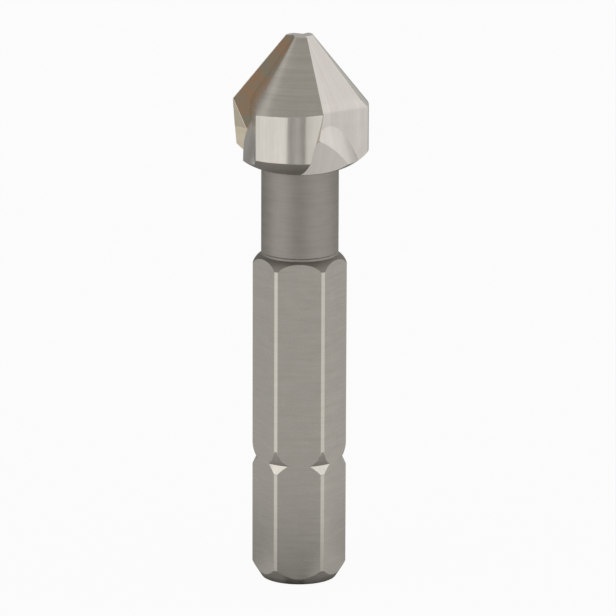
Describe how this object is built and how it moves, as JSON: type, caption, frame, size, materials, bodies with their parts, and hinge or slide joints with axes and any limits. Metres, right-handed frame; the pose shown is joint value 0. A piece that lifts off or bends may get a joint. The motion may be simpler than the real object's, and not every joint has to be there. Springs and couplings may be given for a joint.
{
  "type": "countersink bit",
  "caption": "Countersink bit with a fluted, conical cutting head, a round neck and a hex shank with corner notches, for a quarter-inch bit holder.",
  "frame": {"origin": "centre of the shank's flat end face", "axes": "+Z along the bit's axis, from the shank end to the tip; the hex's front flat faces -Y"},
  "size_m": [0.0103, 0.0101, 0.0425],
  "materials": {
    "ground_steel": "bright ground high-speed steel with fine grinding lines"
  },
  "bodies": {
    "root": {"countersink_bit": "ground_steel"}
  },
  "joints": []
}
